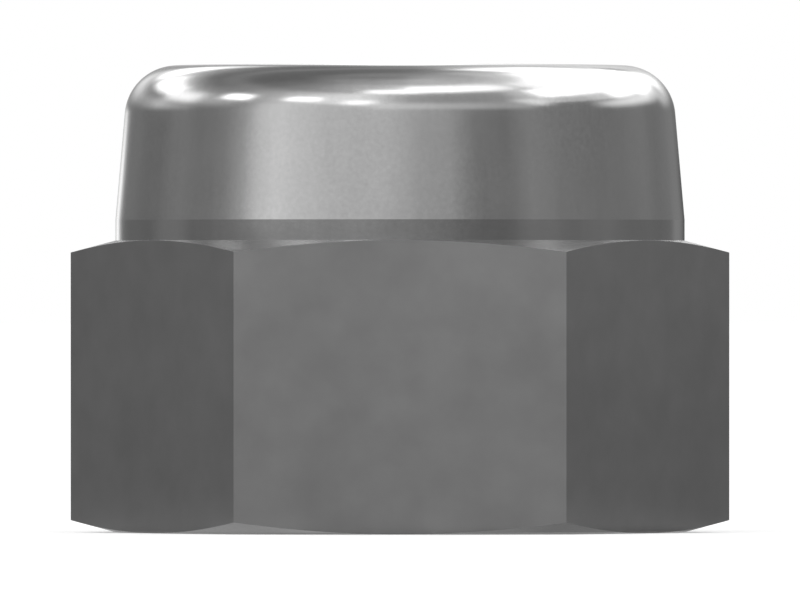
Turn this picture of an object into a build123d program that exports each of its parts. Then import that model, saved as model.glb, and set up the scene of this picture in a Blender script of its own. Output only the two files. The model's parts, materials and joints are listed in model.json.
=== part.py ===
from build123d import *

import os
from math import radians, tan

# An M6 hexagon lock nut, in millimetres: a steel body whose collar is rolled over a nylon ring.
# The origin is the centre of the bearing face. +Z is the thread axis, towards the collar, and
# two of the six flats face -Y and +Y.

# Hexagon
ACROSS_FLATS = 9.78
HEX_HEIGHT = 5.0
TURNED_INSET = 0.01  # how far the bearing face and the collar stay inside the flats
CHAMFER_ANGLE = 15.0  # of both chamfers, measured from the face

# Collar
COLLAR_HEIGHT = 3.0  # from the top of the flats to the top of the lip
FOOT_HEIGHT = 0.35  # the straight band below the taper
TAPER_ANGLE = 5.0  # of the collar's side, measured from the axis
ROLL_RADIUS = 0.89  # outside the bend of the rolled lip
COLLAR_WALL = 0.83  # at the foot
LIP_THICKNESS = 0.5
LIP_REACH = 0.55  # how far the lip covers the ring
LIP_EDGE_RADIUS = 0.15  # round the opening's upper edge
ROLL_INNER_RADIUS = 0.35  # inside the same bend

# Thread, tapped in a plain drilled hole
THREAD_DIAMETER = 6.0
THREAD_PITCH = 1.0
COUNTERSINK_MARGIN = 0.2  # from the thread's outside to the rim of the countersink
COUNTERSINK_ANGLE = 120.0  # included, at both ends of the thread

# Locking ring
RING_THICKNESS = 2.15  # between the pocket's floor and the lip
RING_GRIP = 0.3  # how deep the screw's thread bites into the ring
RING_SWELL = 0.12  # how far the squeezed ring bulges up inside the lip
RING_LEAD = 0.2  # chamfer where the screw enters the ring

# What follows from them
TURNED_RADIUS = ACROSS_FLATS / 2 - TURNED_INSET
TOTAL_HEIGHT = HEX_HEIGHT + COLLAR_HEIGHT
DRILL_RADIUS = (THREAD_DIAMETER - THREAD_PITCH) / 2
POCKET_RADIUS = TURNED_RADIUS - COLLAR_WALL
OPENING_RADIUS = POCKET_RADIUS - LIP_REACH
LIP_UNDERSIDE = TOTAL_HEIGHT - LIP_THICKNESS
POCKET_FLOOR = LIP_UNDERSIDE - RING_THICKNESS
RING_BORE_RADIUS = THREAD_DIAMETER / 2 - RING_GRIP
RIM_RADIUS = TURNED_RADIUS - (COLLAR_HEIGHT - FOOT_HEIGHT) * tan(radians(TAPER_ANGLE))

# Each rounding is limited by the wall that it is cut in
LIP_WIDTH = RIM_RADIUS - OPENING_RADIUS
OUTER_BEND = min(ROLL_RADIUS, 0.8 * LIP_WIDTH)
INNER_BEND = min(ROLL_INNER_RADIUS, 0.8 * LIP_REACH, 0.9 * RING_THICKNESS)
LIP_EDGE = min(LIP_EDGE_RADIUS, 0.15 * LIP_WIDTH, 0.9 * LIP_THICKNESS)


def section(*corners):
    """A flat section in the XZ plane, from its (radius, height) corners in order."""
    return make_face(Polyline([(radius, 0, height) for radius, height in corners], close=True))


def corners_at(face, radius, height):
    """The section's corner at that place, to be rounded or chamfered."""
    place = Vector(radius, 0, height)
    return [corner for corner in face.vertices() if (Vector(*corner) - place).length < 1e-6]


def turned(face):
    """The solid that a section sweeps round the thread axis."""
    return revolve(face, Axis.Z)


def chamfered_hexagon():
    """The hexagon, with a cone cut at each end that takes off only its corners."""
    flats = RegularPolygon(ACROSS_FLATS / 2, side_count=6, major_radius=False)
    past_corners = ACROSS_FLATS
    drop = (past_corners - TURNED_RADIUS) * tan(radians(CHAMFER_ANGLE))
    cones = turned(
        section(
            (0, 0),
            (TURNED_RADIUS, 0),
            (past_corners, drop),
            (past_corners, HEX_HEIGHT - drop),
            (TURNED_RADIUS, HEX_HEIGHT),
            (0, HEX_HEIGHT),
        )
    )
    return extrude(flats, HEX_HEIGHT) & cones


def collar():
    """The collar's outside: a straight foot, a tapered side and a rolled top, still solid."""
    side = section(
        (0, HEX_HEIGHT),
        (TURNED_RADIUS, HEX_HEIGHT),
        (TURNED_RADIUS, HEX_HEIGHT + FOOT_HEIGHT),
        (RIM_RADIUS, TOTAL_HEIGHT),
        (0, TOTAL_HEIGHT),
    )
    return turned(fillet(corners_at(side, RIM_RADIUS, TOTAL_HEIGHT), OUTER_BEND))


def ring_pocket():
    """The room inside the collar: a pocket for the ring, and the opening inside the lip."""
    room = section(
        (0, POCKET_FLOOR),
        (POCKET_RADIUS, POCKET_FLOOR),
        (POCKET_RADIUS, LIP_UNDERSIDE),
        (OPENING_RADIUS, LIP_UNDERSIDE),
        (OPENING_RADIUS, TOTAL_HEIGHT),
        (0, TOTAL_HEIGHT),
    )
    room = fillet(corners_at(room, POCKET_RADIUS, LIP_UNDERSIDE), INNER_BEND)
    return turned(room)


def thread_hole():
    """The drilled hole that carries the thread, with a countersink at each end."""
    mouth_radius = THREAD_DIAMETER / 2 + COUNTERSINK_MARGIN
    depth = (mouth_radius - DRILL_RADIUS) / tan(radians(COUNTERSINK_ANGLE / 2))
    return turned(
        section(
            (0, 0),
            (mouth_radius, 0),
            (DRILL_RADIUS, depth),
            (DRILL_RADIUS, POCKET_FLOOR - depth),
            (mouth_radius, POCKET_FLOOR),
            (0, POCKET_FLOOR),
        )
    )


def nut_body():
    """The steel body: hexagon and rolled collar in one piece."""
    body = chamfered_hexagon() + collar() - ring_pocket() - thread_hole()
    lip_edge = body.edges().group_by(Axis.Z)[-1].sort_by(SortBy.RADIUS)[0]
    return fillet(lip_edge, LIP_EDGE)


def nylon_ring():
    """The locking ring, squeezed so that it fills the pocket and swells up inside the lip."""
    leaves_lip = LIP_UNDERSIDE + LIP_THICKNESS / 2
    middle_radius = (RING_BORE_RADIUS + OPENING_RADIUS) / 2
    seated = Polyline(
        (RING_BORE_RADIUS, 0, leaves_lip),
        (RING_BORE_RADIUS, 0, POCKET_FLOOR),
        (POCKET_RADIUS, 0, POCKET_FLOOR),
        (POCKET_RADIUS, 0, LIP_UNDERSIDE),
        (OPENING_RADIUS, 0, LIP_UNDERSIDE),
        (OPENING_RADIUS, 0, leaves_lip),
    )
    swelling = ThreePointArc(
        (OPENING_RADIUS, 0, leaves_lip),
        (middle_radius, 0, leaves_lip + RING_SWELL),
        (RING_BORE_RADIUS, 0, leaves_lip),
    )
    ring = make_face(seated + swelling)
    ring = fillet(corners_at(ring, POCKET_RADIUS, LIP_UNDERSIDE), INNER_BEND)
    ring = chamfer(corners_at(ring, RING_BORE_RADIUS, POCKET_FLOOR), RING_LEAD)
    return turned(ring)


os.makedirs("parts", exist_ok=True)
for name, solid in (("nut_body", nut_body()), ("nylon_ring", nylon_ring())):
    export_step(solid, f"parts/{name}.step")
    print(name, round(solid.volume, 3), "mm3")
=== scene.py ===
# %% [markdown]
# # A lock nut
# A hexagon nut for an M6 screw, with a collar on top that is rolled over a nylon ring. The ring
# grips the screw's thread, so that the nut doesn't work loose. This lesson dresses its CAD model:
# a steel body with a true thread, a nylon ring, and the studio that they are seen in.

# %% Load the CAD model as a fixed frame
import json
from math import atan2, cos, pi, radians, sin, tan

import bpy
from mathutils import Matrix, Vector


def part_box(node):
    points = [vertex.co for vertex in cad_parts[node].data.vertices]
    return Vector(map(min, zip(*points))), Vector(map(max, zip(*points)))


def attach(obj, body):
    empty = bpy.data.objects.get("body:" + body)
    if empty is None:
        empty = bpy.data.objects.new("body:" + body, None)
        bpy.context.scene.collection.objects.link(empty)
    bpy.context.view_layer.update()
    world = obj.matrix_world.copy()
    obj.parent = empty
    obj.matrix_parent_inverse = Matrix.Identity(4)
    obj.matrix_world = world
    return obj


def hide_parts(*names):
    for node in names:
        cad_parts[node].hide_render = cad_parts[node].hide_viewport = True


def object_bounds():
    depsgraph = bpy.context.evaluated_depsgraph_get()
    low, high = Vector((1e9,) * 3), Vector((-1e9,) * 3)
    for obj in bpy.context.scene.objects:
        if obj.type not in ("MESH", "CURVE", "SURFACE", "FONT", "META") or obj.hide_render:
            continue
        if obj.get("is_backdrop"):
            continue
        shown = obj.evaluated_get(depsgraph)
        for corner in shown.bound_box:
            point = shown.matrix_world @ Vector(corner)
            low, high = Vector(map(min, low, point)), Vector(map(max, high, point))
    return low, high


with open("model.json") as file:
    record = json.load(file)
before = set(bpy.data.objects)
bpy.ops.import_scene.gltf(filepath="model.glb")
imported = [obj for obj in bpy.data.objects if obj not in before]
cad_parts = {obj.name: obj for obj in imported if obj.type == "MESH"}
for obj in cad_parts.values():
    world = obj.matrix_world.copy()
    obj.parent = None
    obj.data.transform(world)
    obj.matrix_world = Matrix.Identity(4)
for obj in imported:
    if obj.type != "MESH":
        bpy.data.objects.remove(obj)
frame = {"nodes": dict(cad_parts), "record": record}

cad_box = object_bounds()
mounts = {mount["name"]: mount for mount in frame["record"]["mounts"]}
print("nodes:", sorted(frame["nodes"]), "mounts:", sorted(mounts))

# %% [markdown]
# ## Sizes
# Everything is in metres. What the frame knows comes from the frame: the width across flats is
# the body's box along Y, the pocket is as wide as the ring, and the tapping hole is a mount. The
# other sizes are those of the nut's drawing, and stand here by name, in capitals.

# %% Sizes of the nut
MM = 0.001

HEXAGON_HEIGHT = 5.0 * MM
TURNED_INSET = 0.01 * MM  # of the bearing face and the collar's foot, inside the flats
CHAMFER_ANGLE = radians(15)  # of both chamfers, from the face
FOOT_HEIGHT = 0.35 * MM  # of the straight band below the collar's taper
TAPER = radians(5)  # of the collar's side, from the axis
BEND_RADIUS = 0.89 * MM  # outside the rolled lip
INNER_BEND = 0.35 * MM  # inside the same bend
LIP_THICKNESS = 0.5 * MM
LIP_REACH = 0.55 * MM  # how far the lip covers the ring
LIP_EDGE = 0.15 * MM  # round the opening's upper edge
PITCH = 1.0 * MM
COUNTERSINK_MARGIN = 0.2 * MM  # from the thread's outside to the rim of a countersink
COUNTERSINK = radians(60)  # from the axis, at both ends of the thread
RING_RISE = 0.25 * MM  # how far the ring stands inside the lip at its edge
RING_LEAD = 0.2 * MM  # chamfer where the screw enters the ring

_, body_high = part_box("nut_body")
ring_low, ring_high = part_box("nylon_ring")
flat_distance = body_high.y  # from the axis to a flat
height = body_high.z
pocket_radius = ring_high.x
pocket_floor = ring_low.z
tapping_radius = mounts["thread"]["dims"]["r_mm"] * MM
ring_bore_radius = mounts["ring_bore"]["dims"]["r_mm"] * MM

turned_radius = flat_distance - TURNED_INSET
lip_underside = height - LIP_THICKNESS
opening_radius = pocket_radius - LIP_REACH
thread_root = tapping_radius + PITCH / 2
mouth_radius = thread_root + COUNTERSINK_MARGIN
corner_distance = flat_distance / cos(radians(30))
print(f"across flats {2000 * flat_distance:.2f} mm, corners {2000 * corner_distance:.2f} mm")

# %% [markdown]
# ## Sums that make nodes
# A node tree is easier to read as sums. `Number` wraps a socket, and its operators add Math
# nodes, also where the plain number comes first, as in `1 - mask`. `Tree` has one method, `add`,
# that makes any other node: its settings first, then a value or a link for each socket.

# %% Numbers and trees
def operator(operation, reflected=False):
    """A Python operator that adds a Math node."""
    def apply(self, other=None):
        pair = (other, self) if reflected else (self, other)
        return self.tree.math(operation, *[value for value in pair if value is not None])
    return apply


class Number:
    """A node's output that takes part in Python sums."""

    def __init__(self, tree, socket):
        self.tree = tree
        self.socket = socket

    __add__, __radd__ = operator("ADD"), operator("ADD", True)
    __sub__, __rsub__ = operator("SUBTRACT"), operator("SUBTRACT", True)
    __mul__, __rmul__ = operator("MULTIPLY"), operator("MULTIPLY", True)
    __truediv__, __rtruediv__ = operator("DIVIDE"), operator("DIVIDE", True)
    __mod__ = operator("FLOORED_MODULO")
    __gt__, __lt__ = operator("GREATER_THAN"), operator("LESS_THAN")


class Tree:
    """A shader or geometry tree with a method for sums and one for every other node."""

    def __init__(self, nodes_of):
        self.nodes_of = nodes_of

    def add(self, kind, settings=(), sockets=()):
        """A node of that kind. Sockets are named or numbered, and get a value or a link."""
        node = self.nodes_of.nodes.new(kind)
        for name, value in dict(settings).items():
            setattr(node, name, value)
        for key, value in dict(sockets).items():
            if isinstance(value, Number):
                value = value.socket
            if isinstance(value, bpy.types.NodeSocket):
                self.nodes_of.links.new(value, node.inputs[key])
            else:
                node.inputs[key].default_value = value
        return node

    def output(self, kind, name, settings=(), sockets=()):
        """One output of a new node, as a number."""
        return Number(self, self.add(kind, settings, sockets).outputs[name])

    def math(self, operation, *values):
        """A Math node on one, two or three numbers."""
        settings = {"operation": operation}
        return self.output("ShaderNodeMath", "Value", settings, enumerate(values))

    def vector(self, x, y, z):
        return self.output("ShaderNodeCombineXYZ", "Vector", (), enumerate((x, y, z)))

    def parts(self, vector):
        """The X, Y and Z of a vector."""
        split = self.add("ShaderNodeSeparateXYZ", (), {"Vector": vector})
        return [Number(self, split.outputs[axis]) for axis in "XYZ"]

    def clamp(self, value):
        return self.output("ShaderNodeClamp", "Result", (), {"Value": value})


print("Number adds Math nodes, Tree.add adds the others")

# %% [markdown]
# ## The lathe
# Both pieces are turned about one axis, so their shape follows a rule: a section that goes round
# the axis. Blender's Screw modifier or the Spin tool would do for a plain section, but this nut is
# a hexagon outside and a helix inside. So each stretch of the section is a Grid whose two
# directions are bent by a formula: one is the angle round the axis, and the other goes along the
# section. The stretches follow one another round the whole section, anticlockwise, which keeps
# every face pointing outwards, and merging by distance closes the skin.

# %% A geometry tree that turns sections
COLUMNS = 240  # round the axis: a multiple of 12, so that corners and flats fall on columns
ARC_ROWS = 24  # along a small round
MERGE = 0.0005 * MM
CRISP_ABOVE = radians(4.4)  # neighbouring faces that turn by more than this keep a crisp edge


class Lathe(Tree):
    """A geometry tree that turns the stretches of a section into one closed skin."""

    def __init__(self, name, sizes):
        super().__init__(bpy.data.node_groups.new(name, "GeometryNodeTree"))
        sockets = self.nodes_of.interface
        sockets.new_socket("Geometry", in_out="OUTPUT", socket_type="NodeSocketGeometry")
        self.values = {}
        for size, value in sizes.items():
            socket = sockets.new_socket(size, in_out="INPUT", socket_type="NodeSocketFloat")
            self.values[socket.identifier] = value
        inputs = self.add("NodeGroupInput").outputs
        self.size = {size: Number(self, inputs[size]) for size in sizes}
        turns, along, _ = self.parts(self.output("GeometryNodeInputPosition", "Position"))
        self.turns = turns + 0.5  # 0 to 1 round the axis
        self.along = along + 0.5  # 0 to 1 along the stretch
        self.angle = self.turns * (2 * pi)
        self.skins = []

    def stretch(self, radius, height, finish, rows):
        """A grid that is bent round the axis. Its finish is kept on its faces for the material."""
        counts = {"Vertices X": COLUMNS + 1, "Vertices Y": rows + 1}
        grid = self.add("GeometryNodeMeshGrid", (), {"Size X": 1.0, "Size Y": 1.0, **counts})
        x = radius * self.math("COSINE", self.angle)
        y = radius * self.math("SINE", self.angle)
        place = self.vector(x, y, height)
        bent = self.add("GeometryNodeSetPosition", (), {0: grid.outputs[0], "Position": place})
        settings = {"data_type": "FLOAT_VECTOR", "domain": "FACE"}
        sockets = {0: bent.outputs[0], "Name": "finish", "Value": finish}
        marked = self.add("GeometryNodeStoreNamedAttribute", settings, sockets)
        self.skins.append(marked.outputs[0])

    def line(self, start, end, finish, rows=1):
        """A straight stretch from one (radius, height) to another."""
        radius, height = [a + self.along * (b - a) for a, b in zip(start, end)]
        self.stretch(radius, height, finish, rows)

    def arc(self, centre, radius, start, end, finish, rows=ARC_ROWS):
        """A round stretch about a (radius, height), from one angle to another."""
        turn = start + self.along * (end - start)
        across = centre[0] + radius * self.math("COSINE", turn)
        up = centre[1] + radius * self.math("SINE", turn)
        self.stretch(across, up, finish, rows)

    def piece(self, name, material):
        """Closes the skin, and makes a plain mesh object of it."""
        joined = self.add("GeometryNodeJoinGeometry")
        for skin in reversed(self.skins):
            self.nodes_of.links.new(skin, joined.inputs[0])
        skin = self.then("GeometryNodeMergeByDistance", joined, {"Distance": MERGE})
        skin = self.then("GeometryNodeSetShadeSmooth", skin, {"Shade Smooth": True})
        crisp = self.output("GeometryNodeInputMeshEdgeAngle", "Unsigned Angle") > CRISP_ABOVE
        sockets = {"Selection": crisp, "Shade Smooth": False}
        skin = self.then("GeometryNodeSetShadeSmooth", skin, sockets, {"domain": "EDGE"})
        skin = self.then("GeometryNodeRealizeInstances", skin)
        skin = self.then("GeometryNodeSetMaterial", skin, {"Material": material})
        self.then("NodeGroupOutput", skin)
        return self.run(name)

    def then(self, kind, before, sockets=(), settings=()):
        """The next node of the chain that the geometry runs through."""
        return self.add(kind, settings, {0: before.outputs[0], **dict(sockets)})

    def run(self, name):
        """Runs the tree as a modifier and keeps its result as a mesh without the modifier."""
        host = bpy.data.objects.new(name + "_host", bpy.data.meshes.new(name + "_host"))
        bpy.context.scene.collection.objects.link(host)
        modifier = host.modifiers.new("lathe", "NODES")
        modifier.node_group = self.nodes_of
        for identifier, value in self.values.items():
            modifier[identifier] = value
        evaluated = host.evaluated_get(bpy.context.evaluated_depsgraph_get())
        mesh = bpy.data.meshes.new_from_object(evaluated)
        bpy.data.objects.remove(host)
        mesh.name = name
        piece = bpy.data.objects.new(name, mesh)
        bpy.context.scene.collection.objects.link(piece)
        triangles = sum(len(face.vertices) - 2 for face in mesh.polygons)
        print(name, "has", triangles, "triangles")
        return piece


print("the lathe turns", COLUMNS, "columns")

# %% [markdown]
# ## A finish
# A finish is a material made of sums: a Principled shader whose colour, roughness and bump come
# from expressions on the place in the piece. Real steel is never one even grey. Rolling, turning
# and tapping each leave their own marks, far too small to model, so they come from noise that is
# stretched the way the tool went.

# %% Shader trees
class Finish(Tree):
    """A material with a Principled shader, and patterns that are measured in millimetres."""

    def __init__(self, name, **constants):
        self.material = bpy.data.materials.new(name)
        self.material.use_nodes = True
        super().__init__(self.material.node_tree)
        self.shader = self.nodes_of.nodes["Principled BSDF"]
        for socket, value in constants.items():
            self.shader.inputs[socket.replace("_", " ")].default_value = value
        metres = self.output("ShaderNodeTexCoord", "Object")
        sockets = {"Vector": metres, "Scale": 1 / MM}
        self.place = self.output("ShaderNodeVectorMath", "Vector", {"operation": "SCALE"}, sockets)

    def noise(self, place, scale, detail=2.0, roughness=0.5):
        """Soft random values about 0, from about -0.5 to 0.5, with that many to a millimetre."""
        sockets = {"Vector": place, "Scale": scale, "Detail": detail, "Roughness": roughness}
        settings = {"noise_dimensions": "3D", "normalize": True}
        return self.output("ShaderNodeTexNoise", "Fac", settings, sockets) - 0.5

    def grey(self, value, tint=(1.0, 1.0, 1.0)):
        """A colour of that brightness."""
        colour = self.output("ShaderNodeCombineColor", "Color", (), enumerate((value,) * 3))
        sockets = {0: 1.0, 6: colour, 7: (*tint, 1.0)}
        settings = {"data_type": "RGBA", "blend_type": "MULTIPLY"}
        return Number(self, self.add("ShaderNodeMix", settings, sockets).outputs[2])

    def bump(self, height, depth):
        """A normal for a height from about -0.5 to 0.5, which stands for that depth in metres."""
        sockets = {"Height": height, "Strength": 1.0, "Distance": depth}
        return self.output("ShaderNodeBump", "Normal", (), sockets)

    def finish(self, **sockets):
        """Links what varies over the surface to the shader."""
        for name, value in sockets.items():
            self.nodes_of.links.new(value.socket, self.shader.inputs[name.replace("_", " ")])
        return self.material


print("a finish is measured in millimetres")

# %% [markdown]
# ## Steel
# The body is one piece of plain steel with four finishes. The flats are as the die left them,
# satin with faint clouds. The collar is polished by the roller that turned its lip in: it has a
# fine grain, stronger in the patches where it was handled, and low waves that bend a reflection a
# little. The chamfers and the bearing face are faced on a lathe, which leaves rings. The thread is
# cut by a tap. Four materials would do, but then the steel's own grain would break off at every
# edge. So the lathe above keeps a mark for each finish on the faces, and one material mixes them.
# The first number of the mark is for polished, the second for faced, the third for tapped.

# %% The steel and its four finishes
AS_ROLLED, POLISHED, FACED, TAPPED = (0, 0, 0), (1, 0, 0), (0, 1, 0), (0, 0, 1)
STEEL_RELIEF = 0.004 * MM  # what a height of 1 stands for
DRAWN_OUT = 0.12  # streaks run along the axis
TURNED_ROUND = 0.15  # and a tool's marks run round it
PATCH_EDGE, PATCH_SHARE = 5, 0.4  # how sharply the handled patches end, and how many there are

steel = Finish("plain steel", Metallic=1.0)
marks = steel.output("ShaderNodeAttribute", "Vector", {"attribute_name": "finish"})
polished, faced, tapped = steel.parts(marks)
rolled = 1 - polished - faced - tapped

x, y, z = steel.parts(steel.place)
radius = steel.math("SQRT", x * x + y * y)
clouds = steel.noise(steel.place, 1.5, detail=3.0)
haze = steel.noise(steel.place, 0.45)
grain = steel.noise(steel.place, 12.0, detail=3.0, roughness=0.6)
waves = steel.noise(steel.place, 1.2, detail=1.0)
handled = steel.clamp(steel.noise(steel.place, 0.32) * PATCH_EDGE + PATCH_SHARE)
streaks = steel.noise(steel.vector(x, y, z * DRAWN_OUT), 6.0, detail=3.0)
rings = steel.noise(steel.vector(radius, 0.0, 0.0), 22.0, detail=3.0, roughness=0.6)
turning = steel.noise(steel.vector(x * TURNED_ROUND, y * TURNED_ROUND, z), 26.0)
print("steel patterns:", len(steel.nodes_of.nodes), "nodes")

# %% [markdown]
# ## How much of each pattern
# Every finish has its own shade, gloss and relief, and takes its share of the patterns. A colour
# ramp for each would do as well, but one sum shows all four next to each other. The numbers are
# small, because good steel is nearly even: its colour moves by a few hundredths, and its relief
# by a few thousandths of a millimetre.

# %% The steel's shade, gloss and relief
shade = (
    0.160 * rolled + 0.203 * polished + 0.255 * faced + 0.16 * tapped
    + clouds * (0.045 * rolled + 0.018 * polished + 0.05 * faced)
    + haze * (0.03 * rolled + 0.02 * polished)
    + streaks * 0.016 * polished
    + grain * ((0.012 + 0.045 * handled) * polished + 0.07 * faced)
)
gloss = (
    0.30 * rolled + 0.15 * polished + 0.21 * faced + 0.30 * tapped
    + haze * 0.05
    + streaks * 0.03 * polished
    + rings * 0.05 * faced
)
relief = (
    grain * (0.1 * rolled + (0.05 + 0.1 * handled) * polished + 0.9 * faced)
    + waves * 0.9 * polished
    + rings * 1.0 * faced
    + turning * (0.01 * polished + 0.06 * tapped)
)
plain_steel = steel.finish(
    Base_Color=steel.grey(shade), Roughness=gloss, Normal=steel.bump(relief, STEEL_RELIEF)
)
print("the whole steel:", len(steel.nodes_of.nodes), "nodes")

# %% [markdown]
# ## Nylon
# The ring is natural nylon: off-white, a little waxy, and smooth from its mould. A glassy coat
# would look too hard. What makes it look like nylon is that some light goes in and comes out
# again nearby, which is subsurface scattering. Faint clouds and a fine grain are enough besides.

# %% The nylon
NATURAL_TINT = (1.0, 0.975, 0.87)
PORE_DEPTH = 0.001 * MM

nylon = Finish(
    "natural nylon", Metallic=0.0, IOR=1.53, Subsurface_Weight=0.12, Subsurface_Scale=0.4 * MM
)
milky = nylon.noise(nylon.place, 0.9)
pores = nylon.noise(nylon.place, 18.0)
natural_nylon = nylon.finish(
    Base_Color=nylon.grey(0.78 + milky * 0.06 + pores * 0.02, NATURAL_TINT),
    Roughness=0.42 + milky * 0.12 + pores * 0.05,
    Normal=nylon.bump(pores, PORE_DEPTH),
)
print("nylon nodes:", len(nylon.nodes_of.nodes))

# %% [markdown]
# ## The steel body
# Hexagon, collar, lip and thread are one piece of steel, so they are one skin from one tree. The
# tree takes the sizes of the drawing as named inputs, and can be used for a nut of another size.

# %% The body's tree and its sizes
body = Lathe("nut body", {
    "flat distance": flat_distance,
    "turned radius": turned_radius,
    "chamfer slope": tan(CHAMFER_ANGLE),
    "hexagon height": HEXAGON_HEIGHT,
    "foot top": HEXAGON_HEIGHT + FOOT_HEIGHT,
    "height": height,
    "taper": TAPER,
    "bend radius": BEND_RADIUS,
    "lip edge": LIP_EDGE,
    "opening radius": opening_radius,
    "lip underside": lip_underside,
    "inner bend": INNER_BEND,
    "pocket radius": pocket_radius,
    "pocket floor": pocket_floor,
    "mouth radius": mouth_radius,
    "tapping radius": tapping_radius,
    "thread root": thread_root,
    "pitch": PITCH,
    "countersink slope": tan(COUNTERSINK),
})
size = body.size
print("sizes that the body's tree takes:", len(size))

# %% [markdown]
# ## The outside of the body
# The section starts at the inner edge of the bearing face and goes round anticlockwise: out along
# the bearing face, up the flats, over the collar and its lip, and down through the ring's pocket.
# A hexagon is a circle whose radius depends on the angle: the distance to a flat, divided by the
# cosine of the angle from that flat's middle. The chamfers are cones, so where they meet the
# flats their height follows from that same radius, and the curved edges come by themselves.

# %% The outside of the body
BEND_ROWS = 40

hexagon = size["flat distance"] / body.math("COSINE", body.angle % radians(60) - radians(30))
drop = (hexagon - size["turned radius"]) * size["chamfer slope"]
bearing_edge = (size["turned radius"], 0.0)
flat_bottom = (hexagon, drop)
flat_top = (hexagon, size["hexagon height"] - drop)
collar_foot = (size["turned radius"], size["hexagon height"])
taper_foot = (size["turned radius"], size["foot top"])

bend_height = size["height"] - size["bend radius"]
lean = body.math("TANGENT", size["taper"])
upright = body.math("COSINE", size["taper"])
side = size["turned radius"] - (bend_height - size["foot top"]) * lean
bend_centre = (side - size["bend radius"] / upright, bend_height)
taper_top = (
    bend_centre[0] + size["bend radius"] * upright,
    bend_height + size["bend radius"] * body.math("SINE", size["taper"]),
)

body.line((size["mouth radius"], 0.0), bearing_edge, FACED)
body.line(bearing_edge, flat_bottom, FACED, rows=2)
body.line(flat_bottom, flat_top, AS_ROLLED, rows=4)
body.line(flat_top, collar_foot, FACED, rows=2)
body.line(collar_foot, taper_foot, POLISHED, rows=2)
body.line(taper_foot, taper_top, POLISHED, rows=10)
body.arc(bend_centre, size["bend radius"], size["taper"], pi / 2, POLISHED, rows=BEND_ROWS)
print("outside:", len(body.skins), "stretches")

# %% [markdown]
# ## The lip and the pocket
# The lip is what the roller folded over. Its edge is a small round, its underside presses on the
# ring, and the inside of its bend is round too.

# %% The lip and the pocket
edge_centre = (size["opening radius"] + size["lip edge"], size["height"] - size["lip edge"])
inner_centre = (
    size["pocket radius"] - size["inner bend"],
    size["lip underside"] - size["inner bend"],
)
body.line((bend_centre[0], size["height"]), (edge_centre[0], size["height"]), POLISHED)
body.arc(edge_centre, size["lip edge"], pi / 2, pi, POLISHED)
opening_foot = (size["opening radius"], size["lip underside"])
body.line((size["opening radius"], edge_centre[1]), opening_foot, FACED)
body.line(opening_foot, (inner_centre[0], size["lip underside"]), FACED)
body.arc(inner_centre, size["inner bend"], pi / 2, 0.0, FACED)
pocket_corner = (size["pocket radius"], size["pocket floor"])
body.line((size["pocket radius"], inner_centre[1]), pocket_corner, FACED)
body.line(pocket_corner, (size["mouth radius"], size["pocket floor"]), FACED)
print("with the lip and the pocket:", len(body.skins), "stretches")

# %% [markdown]
# ## The thread
# An M6 thread rises 1 mm for each turn. Its form is a row of ridges with 60 degree flanks, cut
# flat at their tips and narrower at their roots. The last stretch is a grid that is sheared by
# one pitch over one turn, so that each of its rows is a helix. A row's place within the pitch
# gives its radius. The rows that would run past the ends are held at the ends, where they fall
# together and are merged, and the two countersinks are cones that cut the ridges away.

# %% The thread
TIP_ROWS, FLANK_ROWS, ROOT_ROWS = 8, 8, 4
ROWS_PER_PITCH = TIP_ROWS + 2 * FLANK_ROWS + ROOT_ROWS
row = size["pitch"] / ROWS_PER_PITCH
rows_above = int(pocket_floor / PITCH * ROWS_PER_PITCH) + 1
thread_rows = rows_above + ROWS_PER_PITCH
start_line = row * rows_above - row * body.along * thread_rows
helix = start_line + size["pitch"] * body.turns
up = body.math("MINIMUM", size["pocket floor"], body.math("MAXIMUM", helix, 0.0))
from_root = body.math("ABSOLUTE", (start_line / size["pitch"]) % 1.0 - 0.5) * ROWS_PER_PITCH
ridge = size["thread root"] - size["tapping radius"]
depth = body.clamp(1 - (from_root - ROOT_ROWS / 2) / FLANK_ROWS)
threaded = size["tapping radius"] + ridge * depth
from_end = body.math("MINIMUM", up, size["pocket floor"] - up)
cone = size["mouth radius"] - from_end * size["countersink slope"]
body.stretch(body.math("MAXIMUM", threaded, cone), up, TAPPED, rows=thread_rows)
steel_body = body.piece("steel_body", plain_steel)
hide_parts("nut_body")
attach(steel_body, "root")

# %% [markdown]
# ## The locking ring
# The ring fills the pocket, follows the inside of the bend, and comes up inside the lip in a
# low swell. It is turned by the same lathe.

# %% The locking ring
SWELL_ROWS = 16
BORE_ROWS = 4
NO_MARK = (0, 0, 0)

swell_height = ring_high.z - lip_underside - RING_RISE
half_width = (opening_radius - ring_bore_radius) / 2
swell_radius = (half_width ** 2 + swell_height ** 2) / (2 * swell_height)
swell_turn = atan2(half_width, swell_radius - swell_height)
ring = Lathe("locking ring", {
    "bore radius": ring_bore_radius,
    "pocket radius": pocket_radius,
    "pocket floor": pocket_floor,
    "lip underside": lip_underside,
    "inner bend": INNER_BEND,
    "opening radius": opening_radius,
    "rise": RING_RISE,
    "lead": RING_LEAD,
    "swell radius": swell_radius,
    "swell height": swell_height,
})
size = ring.size
lead_foot = (size["bore radius"] + size["lead"], size["pocket floor"])
lead_top = (size["bore radius"], size["pocket floor"] + size["lead"])
ring_corner = (size["pocket radius"], size["pocket floor"])
bend_at = (size["pocket radius"] - size["inner bend"], size["lip underside"] - size["inner bend"])
leaves_lip = size["lip underside"] + size["rise"]
swell_centre = (
    (size["bore radius"] + size["opening radius"]) / 2,
    leaves_lip + size["swell height"] - size["swell radius"],
)
ring.line(lead_foot, ring_corner, NO_MARK)
ring.line(ring_corner, (size["pocket radius"], bend_at[1]), NO_MARK)
ring.arc(bend_at, size["inner bend"], 0.0, pi / 2, NO_MARK)
lip_meets = (size["opening radius"], size["lip underside"])
ring.line((bend_at[0], size["lip underside"]), lip_meets, NO_MARK)
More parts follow.
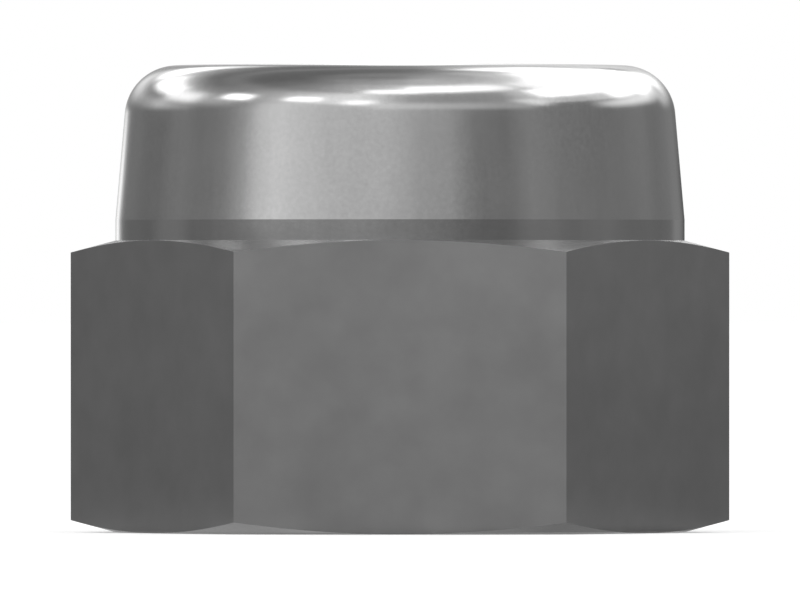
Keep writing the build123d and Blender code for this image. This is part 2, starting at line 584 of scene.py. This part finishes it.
ring.line(lip_meets, (size["opening radius"], leaves_lip), NO_MARK)
swell_ends = (pi / 2 - swell_turn, pi / 2 + swell_turn)
ring.arc(swell_centre, size["swell radius"], *swell_ends, NO_MARK, rows=SWELL_ROWS)
ring.line((size["bore radius"], leaves_lip), lead_top, NO_MARK, rows=BORE_ROWS)
ring.line(lead_top, lead_foot, NO_MARK)
locking_ring = ring.piece("locking_ring", natural_nylon)
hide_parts("nylon_ring")
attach(locking_ring, "root")

# %% [markdown]
# ## The camera
# The nut is seen level and square on at one flat, from so far away that it looks almost flat. A
# long lens does the same here.

# %% The camera
VIEW_WIDTH = 13.717 * MM  # at the thread's axis
LENS, SENSOR = 1200.0, 36.0
EYE_HEIGHT = 3.98 * MM

camera_data = bpy.data.cameras.new("camera")
camera_data.lens = LENS
camera_data.sensor_width = SENSOR
camera_data.clip_start = 0.01
camera_data.clip_end = 5.0
camera = bpy.data.objects.new("camera", camera_data)
camera_distance = VIEW_WIDTH * LENS / SENSOR
camera.location = (0.0, -camera_distance, EYE_HEIGHT)
camera.rotation_euler = (pi / 2, 0.0, 0.0)
bpy.context.scene.collection.objects.link(camera)
bpy.context.scene.camera = camera
print(f"camera {1000 * camera_distance:.0f} mm away")

# %% [markdown]
# ## The studio
# The room is plain white light from all sides, with one soft lamp above, at a level at which a
# colour looks as it is written. The world is white to the camera, and to what the steel reflects,
# without more light on the nut. A white backdrop would do the same, but it would also throw more
# light on the nut.

# %% The world
WHITE = (1.0, 1.0, 1.0, 1.0)
ROOM_LIGHT = 0.8
bpy.context.scene.view_settings.view_transform = "Standard"

world = bpy.data.worlds.new("studio")
world.use_nodes = True
bpy.context.scene.world = world
room = Tree(world.node_tree)


def seen_directly(tree):
    """1 for rays of the camera, of a reflection and through glass, and 0 for those of light."""
    path = tree.add("ShaderNodeLightPath").outputs
    rays = [Number(tree, path[f"Is {ray} Ray"]) for ray in ("Camera", "Glossy", "Transmission")]
    return tree.clamp(rays[0] + rays[1] + rays[2])


room_strength = ROOM_LIGHT + (1 - ROOM_LIGHT) * seen_directly(room)
background = room.nodes_of.nodes["Background"]
background.inputs["Color"].default_value = WHITE
room.nodes_of.links.new(room_strength.socket, background.inputs["Strength"])
print("the room lights at", ROOM_LIGHT, "of white")

# %% [markdown]
# ## The lamp
# One wide lamp hangs in front of the nut, above and to the left. A small one would draw a hard
# shadow. Reflections don't see it, because the cards further on are made for them.

# %% The soft lamp
LAMP_SIZE = 0.12  # metres across
LAMP_POWER = 0.045  # watts
LAMP_PLACE = (-0.06, -0.09, 0.16)  # above, in front and to the left
LAMP_AIM = (radians(34), 0.0, radians(-34))  # at the nut

lamp_data = bpy.data.lights.new("soft_lamp", "AREA")
lamp_data.shape = "DISK"
lamp_data.size = LAMP_SIZE
lamp_data.energy = LAMP_POWER
lamp = bpy.data.objects.new("soft_lamp", lamp_data)
lamp.location = LAMP_PLACE
lamp.rotation_euler = LAMP_AIM
lamp.visible_glossy = False
bpy.context.scene.collection.objects.link(lamp)
print("lamp", LAMP_SIZE, "m wide")

# %% [markdown]
# ## The floor
# The floor is a plain pale sheet, far larger than the view. To the camera it glows a little,
# which brings it to the white of the room, but not so much that the nut's soft shadow is lost.

# %% The floor
FLOOR_SIZE = 4.0  # from the middle to an edge
FLOOR_GAP = 0.002 * MM  # so that the floor and the bearing face aren't in one plane
FLOOR_GREY = (0.9, 0.9, 0.9, 1.0)
FLOOR_GLOW = 0.35

floor_mesh = bpy.data.meshes.new("floor")
corners = [(-1, -1), (1, -1), (1, 1), (-1, 1)]
places = [(x * FLOOR_SIZE, y * FLOOR_SIZE, -FLOOR_GAP) for x, y in corners]
floor_mesh.from_pydata(places, [], [(0, 1, 2, 3)])
floor = bpy.data.objects.new("floor", floor_mesh)
bpy.context.scene.collection.objects.link(floor)
pale = Finish("pale floor", Base_Color=FLOOR_GREY, Roughness=1.0, Specular_IOR_Level=0.0)
pale.shader.inputs["Emission Color"].default_value = WHITE
pale.finish(Emission_Strength=FLOOR_GLOW * seen_directly(pale))
floor_mesh.materials.append(pale.material)
floor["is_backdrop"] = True
print("floor", 2 * FLOOR_SIZE, "m wide")

# %% [markdown]
# ## What the steel reflects
# Polished metal shows little but its surroundings, so a studio gives it cards: white ones that
# glow, and grey ones that hold light back. A card here may be brighter on one side than on
# another, and it fades out towards its edges, so that no edge shows in the steel. Both are kept
# at its points, so that one material serves every card.

# %% What a card shows
card_glow = bpy.data.materials.new("card glow")
card_glow.use_nodes = True
card_glow.node_tree.nodes.clear()
light = Tree(card_glow.node_tree)
glow = light.output("ShaderNodeAttribute", "Vector", {"attribute_name": "glow"})
brightness, there, _ = light.parts(glow)
clear = light.add("ShaderNodeBsdfTransparent").outputs[0]
glowing = light.add("ShaderNodeEmission", (), {"Strength": brightness}).outputs[0]
mixed = light.add("ShaderNodeMixShader", (), {0: there, 1: clear, 2: glowing})
light.add("ShaderNodeOutputMaterial", (), {0: mixed.outputs[0]})
print("a card's glow:", len(light.nodes_of.nodes), "nodes")

# %% [markdown]
# ## A card
# Each card is bent round the nut, from a foot to a top, and only reflections see it. Its
# brightness is given at stops along the azimuth, as in a colour ramp, and passes smoothly from
# one stop to the next. Plain rectangles would do in a larger studio, but from the side of a round
# collar they would look like windows.

# %% A card
CARD_STEP = 1.0  # degrees between the points of a card
CARD_ROWS = 12
ALL_ROUND = (-180, 180)  # such a card is a closed ring and doesn't fade at its sides


def at(distance, elevation):
    """The (radius, height) of a point that far from the nut, at an elevation in degrees."""
    return distance * cos(radians(elevation)), distance * sin(radians(elevation))


def eased(share):
    """0 to 1 with a smooth start and end."""
    share = max(0.0, min(1.0, share))
    return share * share * (3 - 2 * share)


def level_at(levels, azimuth):
    """The brightness at an azimuth, from stops of (azimuth, brightness)."""
    for (left, low), (right, high) in zip(levels, levels[1:]):
        if azimuth <= right:
            return low + (high - low) * eased((azimuth - left) / (right - left))
    return levels[-1][1]


def card(name, azimuth, foot, top, levels, soft):
    """A glowing card between two azimuths, in degrees: 0 is in front of the nut, 90 at its right.

    foot and top are (radius, height) places. soft is how much of the card fades: degrees at
    its sides, and a share at its foot and at its top.
    """
    (left, right), (soft_sides, soft_ends) = azimuth, soft
    columns = round((right - left) / CARD_STEP)
    places, glows = [], []
    for j in range(CARD_ROWS + 1):
        share = j / CARD_ROWS
        distance, up = [a + (b - a) * share for a, b in zip(foot, top)]
        end_fade = eased(min(share, 1 - share) / soft_ends)
        for i in range(columns + 1):
            turn = left + (right - left) * i / columns
            places.append((distance * sin(radians(turn)), -distance * cos(radians(turn)), up))
            from_side = soft_sides if azimuth == ALL_ROUND else min(turn - left, right - turn)
            side_fade = eased(from_side / soft_sides)
            glows.append((level_at(levels, turn), side_fade * end_fade, 0.0))
    starts = [j * (columns + 1) + i for j in range(CARD_ROWS) for i in range(columns)]
    mesh = bpy.data.meshes.new(name)
    mesh.from_pydata(places, [], [(k, k + 1, k + columns + 2, k + columns + 1) for k in starts])
    glow = mesh.attributes.new("glow", "FLOAT_VECTOR", "POINT")
    glow.data.foreach_set("vector", [value for point in glows for value in point])
    mesh.materials.append(card_glow)
    piece = bpy.data.objects.new(name, mesh)
    for ray in ("camera", "diffuse", "transmission", "volume_scatter", "shadow"):
        setattr(piece, "visible_" + ray, False)
    bpy.context.scene.collection.objects.link(piece)
    piece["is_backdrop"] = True


print("a card has a point every", CARD_STEP, "degrees")

# %% [markdown]
# ## The table round the nut
# A grey card lies on the table, with a smaller one close round the nut for the lower chamfers. A
# picture of a room wrapped round the scene would do the same as all these cards, but cards can be
# moved and dimmed one by one, as in a real studio.

# %% The cards on the table
CONTACT_HEIGHT, TABLE_HEIGHT = 0.03 * MM, 0.02 * MM  # above what the nut stands on
CONTACT_FROM, CONTACT_TO = 4.4 * MM, 5.7 * MM  # radii, from under the nut to just past it
TABLE_FROM = 4.8 * MM
LOW_CARD_DISTANCE = 60 * MM

card("contact_card", ALL_ROUND, (CONTACT_FROM, CONTACT_HEIGHT), (CONTACT_TO, CONTACT_HEIGHT), [
    (-180, 0.32), (-150, 0.40), (-60, 0.51), (-32, 0.51), (-12, 0.60), (6, 0.58), (18, 0.40),
    (32, 0.31), (60, 0.28), (150, 0.28), (180, 0.32),
], (4, 0.08))
card("table_card", ALL_ROUND, (TABLE_FROM, TABLE_HEIGHT), (LOW_CARD_DISTANCE, TABLE_HEIGHT), [
    (-180, 0.20), (-150, 0.26), (-122, 0.34), (-104, 0.40), (-80, 0.38), (-62, 0.42), (-34, 0.66),
    (-14, 0.77), (14, 0.82), (30, 0.84), (48, 0.84), (58, 0.60), (68, 0.34), (85, 0.31),
    (110, 0.30), (135, 0.22), (160, 0.18), (180, 0.20),
], (4, 0.02))
print("the table card is", 2 * LOW_CARD_DISTANCE / MM, "mm across")

# %% [markdown]
# ## The low card and the wall
# The low card is no higher than the flats need. The flats and the foot of the collar reflect it,
# while the collar leans back a little and looks over it at the wall. That is why the edge between
# foot and collar is so clear.

# %% The low card and the wall
LOW_CARD_FOOT, LOW_CARD_TOP = -4 * MM, 9 * MM
WALL, WALL_END = 250 * MM, 252 * MM  # distances; where two cards overlap, the nearer one shows

around = [
    (-166, 0.30), (-140, 0.33), (-128, 0.40), (-119, 0.41), (-107, 0.64), (-98, 0.65),
    (-90, 0.48), (-72, 0.56), (-63, 0.58), (-57, 0.67), (-50, 0.77), (-32, 0.82), (-14, 0.85),
    (0, 0.69), (8, 0.66), (14, 0.58), (24, 0.46), (39, 0.40), (45, 0.48), (51, 0.62),
    (60, 0.62), (72, 0.51), (88, 0.62), (105, 0.51), (116, 0.48), (130, 0.40), (138, 0.37),
    (145, 0.50), (151, 0.42), (158, 0.25), (164, 0.12), (172, 0.08), (180, 0.08),
]
low_foot, low_top = (LOW_CARD_DISTANCE, LOW_CARD_FOOT), (LOW_CARD_DISTANCE, LOW_CARD_TOP)
card("low_card", (-166, 184), low_foot, low_top, around, (4, 0.2))
card("wall", (-166, 182), at(WALL, -4), at(WALL, 32), [
    (-166, 0.42), (-150, 0.39), (-138, 0.48), (-126, 0.46), (-116, 0.48), (-108, 0.63),
    (-100, 0.71), (-93, 0.68), (-86, 0.70), (-77, 0.82), (-69, 1.25), (-60, 2.33), (-53, 2.70),
    (-40, 2.34), (-28, 2.02), (-8, 1.87), (2, 1.60), (8, 1.34), (18, 1.26), (33, 0.66),
    (44, 0.62), (57, 0.88), (72, 0.74), (88, 0.67), (101, 0.66), (118, 0.70), (132, 0.52),
    (146, 0.46), (156, 0.38), (164, 0.24), (170, 0.24), (176, 0.60), (182, 0.75),
], (4, 0.12))
card("wall_left_end", (-181, -158), at(WALL_END, -4), at(WALL_END, 24), [
    (-181, 0.60), (-175, 0.46), (-166, 0.42),
], (3, 0.12))
print("the low card's stops of brightness:", len(around))

# %% [markdown]
# ## The cards higher up
# A second wall and the ceiling show only in the rolled lip, in the chamfers and in the top, and
# the overhead card closes the room.

# %% The cards higher up
HIGH_WALL, CEILING, OVERHEAD = 255 * MM, 260 * MM, 265 * MM  # distances
NEARLY_AXIS = 0.001 * MM  # a radius of 0 would make faces without an area

card("high_wall", ALL_ROUND, at(HIGH_WALL, 15), at(HIGH_WALL, 55), [
    (-180, 0.70), (-172, 0.48), (-140, 0.44), (-116, 0.58), (-92, 0.95), (-68, 1.55),
    (-52, 2.40), (-36, 3.00), (-22, 3.40), (-12, 2.80), (-3, 1.90), (6, 1.35), (16, 1.20),
    (36, 1.16), (50, 1.20), (62, 2.20), (72, 2.5), (86, 1.9), (104, 2.6), (160, 2.6),
    (172, 1.6), (180, 0.70),
], (4, 0.25))
card("ceiling", ALL_ROUND, at(CEILING, 50), at(CEILING, 76), [
    (-180, 0.62), (-150, 0.54), (-110, 0.52), (-84, 0.70), (-60, 1.05), (-44, 1.45),
    (-24, 1.90), (-8, 2.20), (80, 2.50), (130, 2.60), (150, 2.10), (168, 1.00), (180, 0.62),
], (4, 0.3))
card("overhead", ALL_ROUND, at(OVERHEAD, 68), (NEARLY_AXIS, OVERHEAD), [
    (-180, 0.98), (-110, 0.85), (-60, 1.20), (-10, 1.55), (40, 2.10), (90, 1.80), (140, 1.50),
    (180, 0.98),
], (4, 0.3))
print("the room is closed", OVERHEAD / MM, "mm above the nut")

# %% [markdown]
# ## Lamps and softboxes
# A row of three small lamps and a long strip make the dashes on the rolled lip. A large softbox
# at the right and a smaller one behind at the left make its two broad highlights. A softbox isn't
# one even rectangle, so each is a few cards that overlap, every next one a little further away.
# The glows are weaker cards, which let its light run out into the grey. The backdrop light stands
# behind the nut and draws its right edge, which would be lost against the white.

# %% Lamps and softboxes
NEAREST_BOX, BOX_SPACING = 180, 2  # millimetres

softboxes = {
    # name: azimuths, elevations, stops of brightness, softness in degrees and as a share
    "left_lamp": ((-91, -70), (28, 42), [(0, 9.5)], (6, 0.4)),
    "middle_lamp": ((-56, -34), (29, 42), [(0, 8.5)], (6, 0.4)),
    "right_lamp": ((-28, -8), (22, 37.5), [(0, 6.3)], (7, 0.45)),
    "strip": ((-2, 78), (47.8, 71), [(30, 7.5), (48, 6.2), (70, 4.6)], (12, 0.48)),
    "strip_left_end": ((-24, 14), (47, 61), [(0, 6.5)], (10, 0.4)),
    "right_softbox": ((65, 152), (33.3, 53), [(0, 6.5)], (8, 0.28)),
    "right_softbox_top": ((73, 152), (44.5, 66.5), [
        (85, 4.6), (100, 5.4), (114, 6.8), (145, 6.0),
    ], (12, 0.32)),
    "right_softbox_far_end": ((104, 174), (34, 61), [(0, 6.5)], (10, 0.25)),
    "right_softbox_middle": ((106, 168), (22.5, 42), [(0, 6.5)], (10, 0.3)),
    "right_softbox_foot": ((130, 168), (19.5, 36), [(0, 6.0)], (7, 0.3)),
    "right_softbox_corner": ((48, 73), (18, 37), [(0, 3.7)], (10, 0.42)),
    "right_glint": ((152, 173), (11, 26), [(0, 2.8)], (8, 0.5)),
    "right_glow": ((88, 164), (12, 28), [
        (100, 2.9), (118, 3.3), (132, 3.1), (146, 2.1), (156, 1.5),
    ], (16, 0.5)),
    "right_low_glow": ((142, 183), (5.5, 20.5), [
        (150, 1.25), (158, 1.1), (165, 0.95), (180, 0.85),
    ], (8, 0.5)),
    "left_softbox": ((-157, -118), (22, 39), [(0, 6.0)], (9, 0.38)),
    "left_softbox_far_end": ((-176, -152), (19.8, 36), [(0, 5.0)], (9, 0.4)),
    "left_softbox_near_end": ((-132, -94), (16.5, 39), [(0, 4.6)], (13, 0.44)),
    "left_low_glow": ((-174, -94), (6.5, 24.5), [
        (-165, 1.5), (-157, 1.45), (-149, 1.1), (-143, 1.0), (-136, 1.2), (-130, 1.6), (-124, 2.0),
        (-117, 1.7), (-110, 1.4), (-98, 1.1),
    ], (8, 0.5)),
    "left_high_glow": ((-170, -94), (26, 47.5), [
        (-160, 1.1), (-146, 1.4), (-135, 1.65), (-126, 1.5), (-115, 1.25), (-100, 1.1),
    ], (14, 0.5)),
    "left_side_glow": ((-110, -70), (13, 41), [(0, 1.6)], (14, 0.5)),
    "backdrop_light": ((170, 185), (8, 38), [
        (171, 1.35), (176, 1.25), (178, 1.5), (179, 2.6), (181, 3.0), (182, 1.3), (184, 0.7),
    ], (2, 0.25)),
}
for order, (name, (azimuth, elevation, brightness, soft)) in enumerate(softboxes.items()):
    distance = (NEAREST_BOX + BOX_SPACING * order) * MM
    foot, top = [at(distance, degrees) for degrees in elevation]
    card(name, azimuth, foot, top, brightness, soft)
print(len(softboxes), "lamps and softboxes")

# %% [markdown]
# ## The rim light and the front glow
# The rim light stands close behind the nut and draws its left edge as a thin bright line. The
# front glow is the nearest of the far cards, and brightens the lower part of the rolled lip.

# %% The rim light and the front glow
RIM_LIGHT, FRONT_GLOW = 50 * MM, 175 * MM  # distances
RIM_FOOT, RIM_TOP = -3 * MM, 10.4 * MM

card("rim_light", (-180, -148), (RIM_LIGHT, RIM_FOOT), (RIM_LIGHT, RIM_TOP), [
    (-180, 0.35), (-172, 0.60), (-166, 0.90), (-161.5, 1.40), (-158, 2.10), (-153.5, 0.90),
    (-148, 0.5),
], (3, 0.2))
card("front_glow", (-18, 64), at(FRONT_GLOW, 12), at(FRONT_GLOW, 33), [
    (-8, 2.7), (6, 2.3), (20, 1.95), (48, 1.5),
], (10, 0.4))
print("the rim light stands", RIM_LIGHT / MM, "mm behind the nut")

# %% Sizes of the CAD model and of what is seen
seen_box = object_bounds()
boxes = {"cad": [list(corner) for corner in cad_box], "visual": [list(corner) for corner in seen_box]}
for name, (low, high) in boxes.items():
    print(name, [f"{1000 * (b - a):.3f} mm" for a, b in zip(low, high)])
